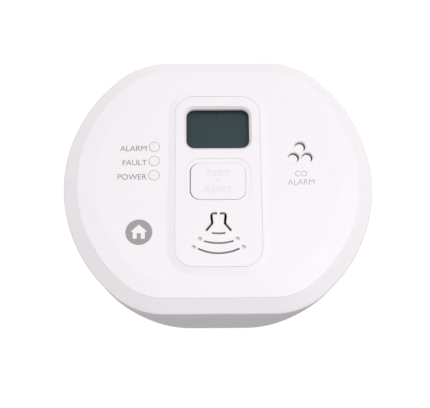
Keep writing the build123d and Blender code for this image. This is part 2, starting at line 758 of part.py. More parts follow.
# ---- Parts on the board: controller, transformer, capacitors and small parts ------------------------------
with BuildPart() as microcontroller:
    block(10.0, 10.0, board_rear - 1.4, board_rear, -17.0, 6.0)
    for step in range(11):
        for side in (-1, 1):
            along = (step - 5) * 0.8
            block(0.35, 1.2, board_rear - 0.5, board_rear, -17.0 + along, 6.0 + side * 5.5)
            block(1.2, 0.35, board_rear - 0.5, board_rear, -17.0 + side * 5.5, 6.0 + along)
finish(microcontroller, "microcontroller")

with BuildPart() as horn_transformer:
    disc(4.2, board_front, board_front + 1.2, -33.0, -9.0)
    disc(3.8, board_front + 1.2, board_front + 6.5, -33.0, -9.0)
    disc(4.2, board_front + 6.5, board_front + 7.7, -33.0, -9.0)
finish(horn_transformer, "horn_transformer")

with BuildPart() as capacitors:
    for x, z in ((24.0, -11.0), (32.0, -7.0)):
        disc(3.15, board_front, board_front + 7.5, x, z)
        disc(3.3, board_front, board_front + 0.8, x, z)
    fillet(capacitors.edges().filter_by(Plane.XZ).group_by(Axis.Y)[0], 0.4)
finish(capacitors, "capacitors")

with BuildPart() as small_parts:
    for column in range(3):
        for row in range(4):
            block(1.6, 0.8, board_front, board_front + 0.5, -20.0 + 4.0 * column, -5.5 + 2.2 * row)
            block(1.6, 0.8, board_rear - 0.5, board_rear, 14.0 + 4.0 * column, 2.0 + 2.2 * row)
finish(small_parts, "small_parts")

# ---- Power switch, worked by the mounting plate's fork ------------------------------------------------------
switch_rear = board_rear - switch_depth
slot_top = switch_z + slider_height / 2 + slider_clearance
slot_bottom = switch_z - slider_height / 2 - slide_travel - slider_clearance
switch_height = slot_top - slot_bottom + 3.0
with BuildPart() as power_switch_body:
    block(switch_width, switch_height, switch_rear, board_rear, z=(slot_top + slot_bottom) / 2,
          corner=0.6)
    block(slider_width + 2 * slider_clearance, slot_top - slot_bottom, switch_rear,
          board_rear - 1.2, z=(slot_top + slot_bottom) / 2, mode=Mode.SUBTRACT)
finish(power_switch_body, "power_switch_body")

with BuildPart() as power_switch_slider:
    block(slider_width, slider_height, floor_front + 0.8, board_rear - 1.5, z=switch_z)
finish(power_switch_slider, "power_switch_slider")
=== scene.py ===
import math

import bpy
from mathutils import Matrix, Vector


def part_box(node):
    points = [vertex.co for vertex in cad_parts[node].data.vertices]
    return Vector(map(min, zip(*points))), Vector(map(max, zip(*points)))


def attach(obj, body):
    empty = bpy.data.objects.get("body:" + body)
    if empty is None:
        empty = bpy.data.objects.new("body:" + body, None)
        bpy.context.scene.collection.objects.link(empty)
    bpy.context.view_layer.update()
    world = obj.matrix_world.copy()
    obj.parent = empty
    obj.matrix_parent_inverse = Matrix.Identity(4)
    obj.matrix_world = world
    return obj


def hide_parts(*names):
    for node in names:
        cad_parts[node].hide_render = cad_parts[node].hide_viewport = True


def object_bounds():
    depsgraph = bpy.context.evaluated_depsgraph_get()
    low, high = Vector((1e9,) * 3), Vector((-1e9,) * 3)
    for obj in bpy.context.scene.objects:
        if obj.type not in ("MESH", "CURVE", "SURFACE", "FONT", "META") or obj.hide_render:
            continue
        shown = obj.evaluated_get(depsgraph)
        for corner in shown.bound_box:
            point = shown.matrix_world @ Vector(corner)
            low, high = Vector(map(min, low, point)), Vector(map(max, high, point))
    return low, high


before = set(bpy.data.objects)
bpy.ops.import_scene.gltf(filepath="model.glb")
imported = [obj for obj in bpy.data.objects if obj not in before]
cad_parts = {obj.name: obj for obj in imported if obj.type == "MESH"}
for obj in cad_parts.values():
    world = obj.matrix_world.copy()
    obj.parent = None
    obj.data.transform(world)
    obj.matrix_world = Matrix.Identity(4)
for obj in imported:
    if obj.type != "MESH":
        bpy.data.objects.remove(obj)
cad_low, cad_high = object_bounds()
MM = 0.001


# ---- The view ------------------------------------------------------------------------------------
# The alarm is seen square on from below the middle of its face, as a person looks up at one that
# is hung above a door. The camera aims at the middle of the cover's rim.
panel_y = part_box("front_cover")[0].y
rim_setback = 4.3 * MM
view_distance = 0.42
view_pitch = math.radians(-21.98)
view_yaw = math.radians(-0.62)
view_roll = math.radians(-0.53)
sensor_width = 36.0
focal_in_widths = 2.511
view_shift = (-0.0072, -0.0486)

back = Vector((math.sin(view_yaw) * math.cos(view_pitch),
               -math.cos(view_yaw) * math.cos(view_pitch),
               math.sin(view_pitch)))
camera = bpy.data.objects.new("camera", bpy.data.cameras.new("camera"))
camera.data.sensor_width = sensor_width
camera.data.lens = sensor_width * focal_in_widths
camera.data.shift_x = view_shift[0]
camera.data.shift_y = view_shift[1]
camera.data.clip_start = 0.01
camera.data.clip_end = 20.0
camera.location = Vector((0, panel_y + rim_setback, 0)) + back * view_distance
aim = (-back).to_track_quat("-Z", "Y").to_matrix().to_4x4() @ Matrix.Rotation(view_roll, 4, "Z")
camera.rotation_euler = aim.to_euler()
bpy.context.scene.collection.objects.link(camera)
bpy.context.scene.camera = camera
bpy.context.scene.view_settings.view_transform = "Standard"


# ---- The studio ----------------------------------------------------------------------------------
# A plain pale floor well below the alarm, and a white surround that is brighter in front than behind.
# The main lamp is a large soft one to the right of the front; weaker ones stand behind.
floor_radius = 12.0
floor_drop = 0.3
floor_sides = 96
floor_tone = (0.60, 0.59, 0.60, 1)
front_glow = 0.79
rear_glow = 0.30
backdrop_glow = 1.05

floor_mesh = bpy.data.meshes.new("studio_floor")
floor_z = cad_low.z - floor_drop
floor_rim = [(floor_radius * math.cos(2 * math.pi * i / floor_sides),
              floor_radius * math.sin(2 * math.pi * i / floor_sides), floor_z)
             for i in range(floor_sides)]
floor_mesh.from_pydata(floor_rim, [], [list(range(floor_sides))])
studio_floor = bpy.data.objects.new("studio_floor", floor_mesh)
bpy.context.scene.collection.objects.link(studio_floor)
floor_paint = bpy.data.materials.new("studio_floor")
floor_paint.use_nodes = True
floor_shader = floor_paint.node_tree.nodes["Principled BSDF"]
floor_shader.inputs["Base Color"].default_value = floor_tone
floor_shader.inputs["Roughness"].default_value = 0.9
floor_mesh.materials.append(floor_paint)

surround = bpy.data.worlds.new("studio_surround")
surround.use_nodes = True
bpy.context.scene.world = surround
surround_nodes = surround.node_tree.nodes
surround_links = surround.node_tree.links
glow = surround_nodes["Background"]
glow.inputs["Color"].default_value = (0.97, 0.98, 1.0, 1)
towards = surround_nodes.new("ShaderNodeTexCoord")
front_to_back = surround_nodes.new("ShaderNodeSeparateXYZ")
brightness = surround_nodes.new("ShaderNodeMapRange")
brightness.interpolation_type = "SMOOTHSTEP"
brightness.inputs["From Min"].default_value = -0.25
brightness.inputs["From Max"].default_value = 0.35
brightness.inputs["To Min"].default_value = front_glow
brightness.inputs["To Max"].default_value = rear_glow
surround_links.new(towards.outputs["Generated"], front_to_back.inputs[0])
surround_links.new(front_to_back.outputs["Y"], brightness.inputs["Value"])
surround_links.new(brightness.outputs[0], glow.inputs["Strength"])
backdrop = surround_nodes.new("ShaderNodeBackground")
backdrop.inputs["Color"].default_value = (1, 1, 1, 1)
backdrop.inputs["Strength"].default_value = backdrop_glow
seen = surround_nodes.new("ShaderNodeLightPath")
choice = surround_nodes.new("ShaderNodeMixShader")
surround_links.new(seen.outputs["Is Camera Ray"], choice.inputs[0])
surround_links.new(glow.outputs[0], choice.inputs[1])
surround_links.new(backdrop.outputs[0], choice.inputs[2])
surround_links.new(choice.outputs[0], surround_nodes["World Output"].inputs["Surface"])

for name, place, size, power, tint in (
        ("key_softbox", (0.36, -1.15, 0.0), 0.9, 6.55, (1.0, 0.985, 0.985)),
        ("rear_fill", (0.5, 1.0, 0.6), 1.0, 4.5, (1.0, 1.0, 1.0)),
        ("rear_left_fill", (-0.8, 0.8, 0.1), 0.8, 2.5, (1.0, 1.0, 1.0))):
    lamp = bpy.data.objects.new(name, bpy.data.lights.new(name, "AREA"))
    lamp.data.shape = "DISK"
    lamp.data.size = size
    lamp.data.energy = power
    lamp.data.color = tint
    lamp.location = place
    lamp.rotation_euler = (-Vector(place)).to_track_quat("-Z", "Y").to_euler()
    bpy.context.scene.collection.objects.link(lamp)


# ---- Mounting plate ------------------------------------------------------------------------------
# A white moulded plate that is screwed to the wall. Like all the alarm's mouldings it has a fine
# spark-eroded grain, a trace of flow in its colour, and slightly softened edges.
class Value:
    """A shader socket that ordinary arithmetic works on; each operation adds its Math node."""

    def __init__(self, finish, socket):
        self.finish = finish
        self.socket = socket

    def maths(self, operation, *terms):
        return self.finish.node("ShaderNodeMath", {"operation": operation}, dict(enumerate(terms)))

    def __add__(self, other):
        return self.maths("ADD", self, other)

    def __sub__(self, other):
        return self.maths("SUBTRACT", self, other)

    def __mul__(self, other):
        return self.maths("MULTIPLY", self, other)

    def __truediv__(self, other):
        return self.maths("DIVIDE", self, other)

    def __rsub__(self, other):
        return self.maths("SUBTRACT", other, self)

    def __gt__(self, other):
        return self.maths("GREATER_THAN", self, other)

    def __lt__(self, other):
        return self.maths("LESS_THAN", self, other)

    def __abs__(self):
        return self.maths("ABSOLUTE", self)

    __radd__ = __add__
    __rmul__ = __mul__

    def zigzag(self, reach):
        """Up from 0 to reach and down again, over and over."""
        return self.maths("PINGPONG", self, reach)

    def part(self, name):
        """Another output of the node that made this value."""
        return Value(self.finish, self.socket.node.outputs[name])

    def smooth(self, low, high):
        """0 below low, 1 above high, and a soft step between them."""
        return self.finish.node("ShaderNodeMapRange", {"interpolation_type": "SMOOTHSTEP"},
                                {"Value": self, "From Min": low, "From Max": high})

    def mixed(self, first, second):
        """A colour between two colours, by this value."""
        return self.finish.node("ShaderNodeMix", {"data_type": "RGBA"},
                                {0: self, 6: first, 7: second}, 2)


class Finish:
    """One material being made. Varying values feed the shader; constants sit on its sockets."""

    def __init__(self, name, **constants):
        self.material = bpy.data.materials.new(name)
        self.material.use_nodes = True
        self.tree = self.material.node_tree
        self.shader = self.tree.nodes["Principled BSDF"]
        self.set(**constants)

    def set(self, **sockets):
        for name, value in sockets.items():
            self.feed(self.shader.inputs[name.replace("_", " ").title().replace("Ior", "IOR")], value)
        return self

    def feed(self, socket, value):
        if isinstance(value, Value):
            self.tree.links.new(value.socket, socket)
        elif isinstance(value, tuple) and socket.type == "RGBA":
            socket.default_value = (*value[:3], 1.0)
        else:
            socket.default_value = value

    def node(self, kind, settings=None, sockets=None, output=0):
        """Any node: its settings first, then the values or links of its sockets."""
        made = self.tree.nodes.new(kind)
        for name, setting in (settings or {}).items():
            setattr(made, name, setting)
        for name, value in (sockets or {}).items():
            self.feed(made.inputs[name], value)
        return Value(self, made.outputs[output])

    def place(self):
        """Each point's place on the whole alarm, in metres."""
        return self.node("ShaderNodeTexCoord", output=3)

    def axes(self):
        """That place as three separate values."""
        across = self.node("ShaderNodeSeparateXYZ", None, {0: self.place()})
        return across, across.part("Y"), across.part("Z")

    def noise(self, scale, detail=2.0, roughness=0.5):
        return self.node("ShaderNodeTexNoise", None,
                         {"Vector": self.place(), "Scale": scale, "Detail": detail,
                          "Roughness": roughness})

    def cells(self, scale):
        return self.node("ShaderNodeTexVoronoi", None, {"Vector": self.place(), "Scale": scale})

    def relief(self, height, depth, strength=1.0, edge=0.0):
        """Bump of a depth in metres, over edges softened by a radius."""
        sockets = {"Height": height, "Distance": depth, "Strength": strength}
        if edge:
            sockets["Normal"] = self.node("ShaderNodeBevel", {"samples": 4}, {"Radius": edge})
        self.set(normal=self.node("ShaderNodeBump", None, sockets))
        return self

    def cover(self, *nodes):
        """Gives this finish to CAD nodes."""
        for name in nodes:
            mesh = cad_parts[name].data
            mesh.materials.clear()
            mesh.materials.append(self.material)
        return self


grain_depth = 0.012 * MM


def moulding(name, tone, shadow_tone, roughness, edge=0.15 * MM):
    """Moulded plastic: soft drifts of tone, spark-eroded grain and slightly uneven gloss."""
    plastic = Finish(name, ior=1.49)
    drift = plastic.noise(28.0, 2.0)
    grain = plastic.noise(4200.0, 2.0, 0.6)
    pits = plastic.cells(2600.0)
    plastic.set(base_color=drift.mixed(tone, shadow_tone),
                roughness=roughness + 0.08 * plastic.noise(160.0, 3.0) + 0.05 * grain)
    return plastic.relief(grain + 0.6 * pits, grain_depth, 0.35, edge)


moulding("plate_moulding", (0.83, 0.81, 0.815), (0.81, 0.79, 0.80), 0.42).cover("mounting_plate")


# ---- Rear housing and its label ------------------------------------------------------------------
# The white tub that holds everything, with a pocket for the plate. Its blank foil label is stuck
# beside the pocket, with a printed border and rules where an installer writes.
moulding("housing_moulding", (0.875, 0.845, 0.87), (0.86, 0.83, 0.855), 0.40).cover("rear_housing")

label_low, label_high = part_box("rating_label")
border_start = 0.65 * MM
border_end = 0.9 * MM
rules_side_margin = 1.6 * MM
rules_end_margin = 2.0 * MM
rules_half_spacing = 1.5 * MM
rule_half_width = 0.09 * MM
foil = Finish("label_foil", metallic=0.35, ior=1.45)
across, _, upward = foil.axes()
label_middle = (label_low + label_high) / 2
from_side = abs(across - label_middle.x)
from_middle = abs(upward - label_middle.z)
half_width = (label_high.x - label_low.x) / 2
half_height = (label_high.z - label_low.z) / 2
border = (from_side > half_width - border_end) - (from_side > half_width - border_start)
border_ends = (from_middle > half_height - border_end) - (from_middle > half_height - border_start)
inside = (from_side < half_width - rules_side_margin) * (from_middle < half_height - rules_end_margin)
ink = border + border_ends + inside * (upward.zigzag(rules_half_spacing) < rule_half_width)
foil.set(base_color=ink.maths("MINIMUM", ink, 1.0).mixed((0.72, 0.72, 0.70), (0.12, 0.12, 0.13)),
         roughness=0.30 + 0.15 * foil.noise(900.0, 3.0))
foil.relief(foil.noise(1500.0, 2.0), 0.01 * MM, 0.3).cover("rating_label")


# ---- Screws --------------------------------------------------------------------------------------
# Zinc-plated steel screws with cross recesses: four hold the housing's halves together and four
# hold the board. The plating is faintly yellow in patches, with fine marks all over.
tool_mark_depth = 0.008 * MM
metal_edge = 0.08 * MM


def plated(name, tone, stain, roughness, scale):
    """Plated or drawn metal: patches of stain, and fine marks left by the tool."""
    metal = Finish(name, metallic=1.0)
    marks = metal.noise(scale, 4.0, 0.65)
    patches = metal.noise(220.0, 2.0)
    metal.set(base_color=patches.smooth(0.35, 0.7).mixed(tone, stain),
              roughness=roughness + 0.22 * marks)
    return metal.relief(marks, tool_mark_depth, 0.4, metal_edge)


plated("zinc_plating", (0.66, 0.65, 0.62), (0.60, 0.58, 0.50), 0.26, 3000.0).cover(
    "housing_screws", "board_screws")


# ---- Battery -------------------------------------------------------------------------------------
# A nickel-plated lithium cell in a heat-shrunk sleeve, which wrinkles where it turns over the ends,
# with spot-welded nickel strips that run to the board.
plated("nickel_can", (0.60, 0.60, 0.60), (0.54, 0.54, 0.53), 0.24, 2400.0).cover("battery_cell")

sleeve_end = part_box("battery_sleeve")[1].x
wrinkled_length = 3.5 * MM
band_start = 6.0 * MM
band_end = 12.0 * MM
sleeve = Finish("shrink_sleeve", ior=1.52, coat_weight=0.3, coat_roughness=0.15)
along, _, _ = sleeve.axes()
wrinkled = abs(along).smooth(sleeve_end - wrinkled_length, sleeve_end)
wrinkles = sleeve.node("ShaderNodeTexNoise", None, {"Vector": sleeve.place(), "Scale": 420.0,
                                                     "Detail": 2.0, "Distortion": 0.6})
band = (along > band_start) * (along < band_end)
sleeve.set(base_color=band.mixed((0.10, 0.22, 0.38), (0.75, 0.76, 0.78)),
           roughness=0.22 + 0.1 * wrinkles)
sleeve.relief(wrinkled * wrinkles, 0.15 * MM, 0.6).cover("battery_sleeve")

plated("nickel_strip", (0.70, 0.69, 0.66), (0.62, 0.60, 0.55), 0.22, 1800.0).cover("battery_tabs")


# ---- Circuit board -------------------------------------------------------------------------------
# Glass-epoxy board under green solder mask. Tracks stand up a little under the mask, and plated
# pads are left bare here and there.
track_length = 3.4 * MM
track_pitch = 1.27 * MM
track_gap = 0.12 * MM
pad_reach = 0.16
board = Finish("solder_mask", ior=1.52, coat_weight=0.4, coat_roughness=0.12)
across, _, upward = board.axes()
track_grid = board.node("ShaderNodeTexBrick", {"offset": 0.5, "squash": 1.0}, {
    "Vector": board.node("ShaderNodeCombineXYZ", None, {0: across, 1: upward}),
    "Color1": (0.0, 0.0, 0.0), "Color2": (1.0, 1.0, 1.0), "Mortar": (0.5, 0.5, 0.5),
    "Scale": 1.0, "Mortar Size": track_gap, "Mortar Smooth": 0.1,
    "Brick Width": track_length, "Row Height": track_pitch}, 1)
pad_spots = board.node("ShaderNodeTexVoronoi", {"feature": "F1"},
                       {"Vector": board.place(), "Scale": 330.0, "Randomness": 0.35})
bare = pad_spots < pad_reach
copper_under = track_grid.mixed((0.035, 0.17, 0.075), (0.05, 0.26, 0.11))
board.set(base_color=bare.mixed(copper_under, (0.72, 0.66, 0.48)),
          metallic=bare * 0.9,
          roughness=0.30 + 0.12 * board.noise(700.0, 2.0))
board.relief(track_grid * 0.7 + 0.3 * board.noise(1400.0, 1.0), 0.035 * MM, 0.6).cover("circuit_board")


# ---- Parts on the board --------------------------------------------------------------------------
# A black epoxy package with tinned legs, capacitors in blue sleeves with bare tops, and ceramic
# chips with tinned ends, all soldered to the board.
package_half = 5.0 * MM
bare_top_depth = 0.25 * MM
chip = Finish("black_epoxy", ior=1.55)
across, _, upward = chip.axes()
chip_low, chip_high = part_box("microcontroller")
chip_middle = (chip_low + chip_high) / 2
off_middle = abs(across - chip_middle.x)
off_middle_up = abs(upward - chip_middle.z)
leg = off_middle.maths("MAXIMUM", off_middle, off_middle_up) > package_half
chip.set(base_color=leg.mixed((0.028, 0.028, 0.030), (0.62, 0.61, 0.60)), metallic=leg,
         roughness=0.55 + 0.1 * chip.noise(2500.0, 2.0) - 0.3 * leg)
chip.relief(chip.noise(5200.0, 2.0), 0.01 * MM, 0.5, 0.06 * MM).cover("microcontroller")

can = Finish("capacitor_sleeve", ior=1.5, coat_weight=0.4, coat_roughness=0.1)
_, outward, _ = can.axes()
bare_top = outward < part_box("capacitors")[0].y + bare_top_depth
can.set(base_color=bare_top.mixed((0.035, 0.045, 0.13), (0.66, 0.66, 0.66)), metallic=bare_top * 0.95,
        roughness=0.25 + 0.15 * can.noise(1600.0, 2.0))
can.relief(can.noise(900.0, 2.0), 0.02 * MM, 0.3, 0.1 * MM).cover("capacitors")

chips = Finish("ceramic_chips", ior=1.6)
speck = chips.cells(750.0)
chips.set(base_color=(speck.part("Distance") > 0.35).mixed((0.30, 0.22, 0.15), (0.66, 0.65, 0.62)),
          roughness=0.45 + 0.15 * chips.noise(3000.0, 2.0))
chips.relief(chips.noise(4000.0, 2.0), 0.01 * MM, 0.4, 0.04 * MM).cover("small_parts")


# ---- Horn transformer's winding ------------------------------------------------------------------
# One layer of enamelled copper wire in close turns, wound on a black moulded bobbin between its
# two flanges. The bobbin is the CAD node, and the wire is laid on it here.
class Grower:
    """A Geometry Nodes tree being built, with named inputs for its sizes."""

    def __init__(self, name):
        self.name = name
        self.tree = bpy.data.node_groups.new(name, "GeometryNodeTree")
        self.tree.interface.new_socket("Geometry", in_out="OUTPUT", socket_type="NodeSocketGeometry")
        self.inputs = self.tree.nodes.new("NodeGroupInput")
        self.sizes = {}

    def size(self, name, value, kind="NodeSocketFloat"):
        """A named input of the tree, and the link end that carries it."""
        self.sizes[name] = value
        self.tree.interface.new_socket(name, in_out="INPUT", socket_type=kind)
        return self.inputs.outputs[name]

    def node(self, kind, settings=None, sockets=None, output=0):
        made = self.tree.nodes.new(kind)
        for name, setting in (settings or {}).items():
            setattr(made, name, setting)
        for name, value in (sockets or {}).items():
            if isinstance(value, bpy.types.NodeSocket):
                self.tree.links.new(value, made.inputs[name])
            else:
                made.inputs[name].default_value = value
        return made.outputs[output]

    def maths(self, operation, *terms):
        return self.node("ShaderNodeMath", {"operation": operation}, dict(enumerate(terms)))

    def grow(self, geometry, finish, body):
        """Realizes the geometry, gives it its finish and makes it a plain piece on a body."""
        real = self.node("GeometryNodeRealizeInstances", None, {0: geometry})
        painted = self.node("GeometryNodeSetMaterial", None, {0: real, "Material": finish.material})
        result = self.tree.nodes.new("NodeGroupOutput")
        self.tree.links.new(painted, result.inputs[0])
        seed = bpy.data.objects.new(self.name, bpy.data.meshes.new(self.name))
        bpy.context.scene.collection.objects.link(seed)
        grown = seed.modifiers.new("grown", "NODES")
        grown.node_group = self.tree
        for item in self.tree.interface.items_tree:
            if item.in_out == "INPUT":
                grown[item.identifier] = self.sizes[item.name]
        evaluated = seed.evaluated_get(bpy.context.evaluated_depsgraph_get())
        mesh = bpy.data.meshes.new_from_object(evaluated)
        seed.modifiers.clear()
        seed.data = mesh
        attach(seed, body)
        return seed


bobbin_low, bobbin_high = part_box("horn_transformer")
bobbin_middle = (bobbin_low + bobbin_high) / 2
first_turn_depth = 1.35 * MM
turn_spacing = 2.05  # wire radii from one turn to the next
winding_tree = Grower("transformer_winding")
turns = winding_tree.size("Turns", 19, "NodeSocketInt")
wire_radius = winding_tree.size("Wire radius", 0.13 * MM)
coil_radius = winding_tree.size("Coil radius", 3.82 * MM)
first_turn = winding_tree.node("ShaderNodeCombineXYZ", None, {
    0: bobbin_middle.x, 1: bobbin_low.y + first_turn_depth, 2: bobbin_middle.z})
turn_pitch = winding_tree.node("ShaderNodeCombineXYZ", None, {
    1: winding_tree.maths("MULTIPLY", wire_radius, turn_spacing)})
stack = winding_tree.node("GeometryNodeMeshLine", {"mode": "OFFSET"}, {
    "Count": turns, "Start Location": first_turn, "Offset": turn_pitch})
ring = winding_tree.node("GeometryNodeCurvePrimitiveCircle", {"mode": "RADIUS"}, {
    "Resolution": 40, "Radius": coil_radius})
section = winding_tree.node("GeometryNodeCurvePrimitiveCircle", {"mode": "RADIUS"}, {
    "Resolution": 8, "Radius": wire_radius})
turn = winding_tree.node("GeometryNodeCurveToMesh", None, {"Curve": ring, "Profile Curve": section})
wound = winding_tree.node("GeometryNodeInstanceOnPoints", None, {
    "Points": stack, "Instance": turn, "Rotation": (math.radians(90), 0, 0)})
enamel = Finish("enamelled_copper", metallic=0.8, coat_weight=0.7, coat_roughness=0.08, ior=1.5)
enamel.set(base_color=enamel.noise(500.0, 2.0).mixed((0.50, 0.17, 0.06), (0.38, 0.11, 0.04)),
           roughness=0.25 + 0.2 * enamel.noise(2500.0, 2.0))
winding_tree.grow(wound, enamel, "alarm")

ferrite = Finish("bobbin_moulding", ior=1.5)
ferrite.set(base_color=ferrite.noise(400.0, 3.0).mixed((0.045, 0.043, 0.042), (0.075, 0.07, 0.066)),
            roughness=0.5 + 0.2 * ferrite.noise(2000.0, 2.0))
ferrite.relief(ferrite.noise(3000.0, 3.0), 0.02 * MM, 0.5, 0.08 * MM).cover("horn_transformer")


# ---- Power switch and tactile switch -------------------------------------------------------------
# Small black nylon mouldings on the board, with a shinier plunger under the button and a
# spring-steel snap dome. The mounting plate's fork holds the power switch's slider.
moulding("switch_nylon", (0.030, 0.030, 0.033), (0.022, 0.022, 0.025), 0.45, 0.08 * MM).cover(
    "power_switch_body", "power_switch_slider", "tact_switch_body")
moulding("plunger_nylon", (0.045, 0.045, 0.05), (0.035, 0.035, 0.04), 0.32, 0.08 * MM).cover(
    "tact_switch_plunger")
plated("spring_steel", (0.62, 0.61, 0.58), (0.56, 0.52, 0.44), 0.18, 2600.0).cover("tact_switch_dome")


# ---- Carbon monoxide sensor ----------------------------------------------------------------------
# A drawn steel can with a crimped cap and gold-plated pins. A black carbon filter cloth lies in the
# cap's inlet, and a foam ring seals the sensor to the cover.
plated("drawn_steel", (0.58, 0.58, 0.585), (0.50, 0.50, 0.50), 0.28, 1500.0).cover(
    "sensor_can", "sensor_cap")
plated("tinned_pin", (0.74, 0.66, 0.44), (0.68, 0.58, 0.34), 0.22, 2600.0).cover("sensor_pins")

cloth = Finish("carbon_filter_cloth", ior=1.4)
across, _, upward = cloth.axes()
thread = 0.45 * MM
weave = (across.zigzag(thread) / thread) * (upward.zigzag(thread) / thread)
cloth.set(base_color=weave.mixed((0.02, 0.02, 0.02), (0.07, 0.068, 0.066)),
          roughness=0.8 + 0.15 * cloth.noise(2000.0, 2.0))
cloth.relief(weave, 0.12 * MM, 0.9).cover("sensor_filter")

foam = Finish("closed_cell_foam", ior=1.4)
bubbles = foam.cells(2600.0)
foam.set(base_color=bubbles.mixed((0.03, 0.03, 0.03), (0.075, 0.075, 0.075)),
         roughness=0.82 + 0.1 * foam.noise(1200.0, 2.0))
foam.relief(bubbles, 0.10 * MM, 0.7).cover("sensor_gasket", "horn_gasket")


# ---- Horn ----------------------------------------------------------------------------------------
# A black chamber on the board, a brass piezo disc with a silvered ceramic on its back, bronze leaf
# contacts, and a fine woven gauze behind the cover's slots that keeps insects out.
moulding("chamber_moulding", (0.035, 0.035, 0.037), (0.026, 0.026, 0.028), 0.48, 0.1 * MM).cover(
    "horn_chamber")
plated("rolled_brass", (0.72, 0.53, 0.22), (0.62, 0.42, 0.16), 0.22, 1400.0).cover("horn_disc")
plated("phosphor_bronze", (0.70, 0.48, 0.24), (0.58, 0.36, 0.18), 0.2, 2000.0).cover("horn_contacts")

silvered = Finish("silvered_ceramic", metallic=0.6)
silvered.set(base_color=silvered.noise(900.0, 4.0).mixed((0.70, 0.69, 0.66), (0.80, 0.79, 0.76)),
             roughness=0.42 + 0.2 * silvered.noise(3000.0, 3.0))
silvered.relief(silvered.noise(2600.0, 3.0), 0.02 * MM, 0.5).cover("horn_ceramic")

gauze_low, gauze_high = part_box("horn_grille_mesh")
gauze_middle = (gauze_low + gauze_high) / 2
gauze_radius = (gauze_high.x - gauze_low.x) / 2
gauze_margin = 0.15 * MM
gauze_tree = Grower("horn_gauze")
pitch = gauze_tree.size("Pitch", 0.6 * MM)
gauze_wire = gauze_tree.size("Wire radius", 0.048 * MM)
disc_radius = gauze_tree.size("Disc radius", gauze_radius - gauze_margin)
wires_each_way = gauze_tree.size("Wires each way", 47, "NodeSocketInt")


def gauze_wires(tree, along_x):
    """One direction of wires, cut to the disc and waved over and under the other direction."""
    half = tree.maths("MULTIPLY", tree.maths("SUBTRACT", wires_each_way, 1.0),
                      tree.maths("MULTIPLY", pitch, 0.5))
    less = tree.maths("MULTIPLY", half, -1.0)
    run, step = (0, 2) if along_x else (2, 0)
    line = tree.node("GeometryNodeCurvePrimitiveLine", None, {
        "Start": tree.node("ShaderNodeCombineXYZ", None, {run: less}),
        "End": tree.node("ShaderNodeCombineXYZ", None, {run: half})})
    wire = tree.node("GeometryNodeResampleCurve", None, {
        "Curve": line, "Count": tree.maths("SUBTRACT", tree.maths("MULTIPLY", wires_each_way, 2), 1)})
    row = tree.node("GeometryNodeMeshLine", {"mode": "OFFSET"}, {
        "Count": wires_each_way,
        "Start Location": tree.node("ShaderNodeCombineXYZ", None, {step: less}),
        "Offset": tree.node("ShaderNodeCombineXYZ", None, {step: pitch})})
    rows = tree.node("GeometryNodeRealizeInstances", None, {
        0: tree.node("GeometryNodeInstanceOnPoints", None, {"Points": row, "Instance": wire})})
    place = tree.node("GeometryNodeInputPosition")
    radius = tree.node("ShaderNodeVectorMath", {"operation": "LENGTH"}, {0: place}, "Value")
    inside_disc = tree.node("GeometryNodeDeleteGeometry", {"domain": "POINT"}, {
        0: rows, "Selection": tree.maths("GREATER_THAN", radius, disc_radius)})
    parts = tree.node("ShaderNodeSeparateXYZ", None, {0: place}).node
    turn_x = tree.maths("MULTIPLY", tree.maths("DIVIDE", parts.outputs["X"], pitch), math.pi)
    turn_z = tree.maths("MULTIPLY", tree.maths("DIVIDE", parts.outputs["Z"], pitch), math.pi)
    wave = tree.maths("MULTIPLY", tree.maths("COSINE", turn_x), tree.maths("COSINE", turn_z))
    side = tree.maths("MULTIPLY", gauze_wire, 1.0 if along_x else -1.0)
    waved = tree.node("GeometryNodeSetPosition", None, {
        0: inside_disc,
        "Offset": tree.node("ShaderNodeCombineXYZ", None, {1: tree.maths("MULTIPLY", wave, side)})})
    thread_section = tree.node("GeometryNodeCurvePrimitiveCircle", {"mode": "RADIUS"}, {
        "Resolution": 4, "Radius": gauze_wire})
    return tree.node("GeometryNodeCurveToMesh", None, {
        "Curve": waved, "Profile Curve": thread_section, "Fill Caps": True})


both_ways = gauze_tree.node("GeometryNodeJoinGeometry")
for along_x in (True, False):
    gauze_tree.tree.links.new(gauze_wires(gauze_tree, along_x), both_ways.node.inputs[0])
placed_gauze = gauze_tree.node("GeometryNodeTransform", None, {
    0: both_ways, "Translation": tuple(gauze_middle)})
gauze_paint = Finish("black_gauze", ior=1.5)
gauze_paint.set(base_color=gauze_paint.noise(1500.0, 2.0).mixed((0.02, 0.02, 0.02), (0.05, 0.05, 0.05)),
                roughness=0.5 + 0.2 * gauze_paint.noise(4000.0, 2.0))
gauze = gauze_tree.grow(placed_gauze, gauze_paint, "alarm")
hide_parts("horn_grille_mesh")


# ---- Display -------------------------------------------------------------------------------------
# A liquid crystal cell under a clear pane: a dark grey-green field, blank, with painted shade darkening
# it towards its edges, in a black bezel, over a milky light guide and two layered rubber connectors.
shade_across = (10.0 * MM, 13.0 * MM)
shade_upward = (6.5 * MM, 9.5 * MM)
layer_thickness = 0.09 * MM
glass_low, glass_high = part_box("lcd_glass")
glass_middle = (glass_low + glass_high) / 2
crystal = Finish("liquid_crystal", ior=1.45)
across, _, upward = crystal.axes()
# Painted shade: the field is darkened towards its edges, standing in for the shade the window's recess
# and bezel cast on it.
side_shade = abs(across - glass_middle.x).smooth(*shade_across)
end_shade = abs(upward - glass_middle.z).smooth(*shade_upward)
painted_edge_shade = side_shade.maths("MAXIMUM", side_shade, end_shade)
field = crystal.noise(60.0, 2.0).mixed((0.020, 0.054, 0.064), (0.026, 0.064, 0.075))
crystal.set(base_color=painted_edge_shade.mixed(field, (0.016, 0.036, 0.038)),
            roughness=0.34 + 0.06 * crystal.noise(900.0, 2.0))
crystal.relief(crystal.noise(5000.0, 2.0), 0.004 * MM, 0.3).cover("lcd_glass")

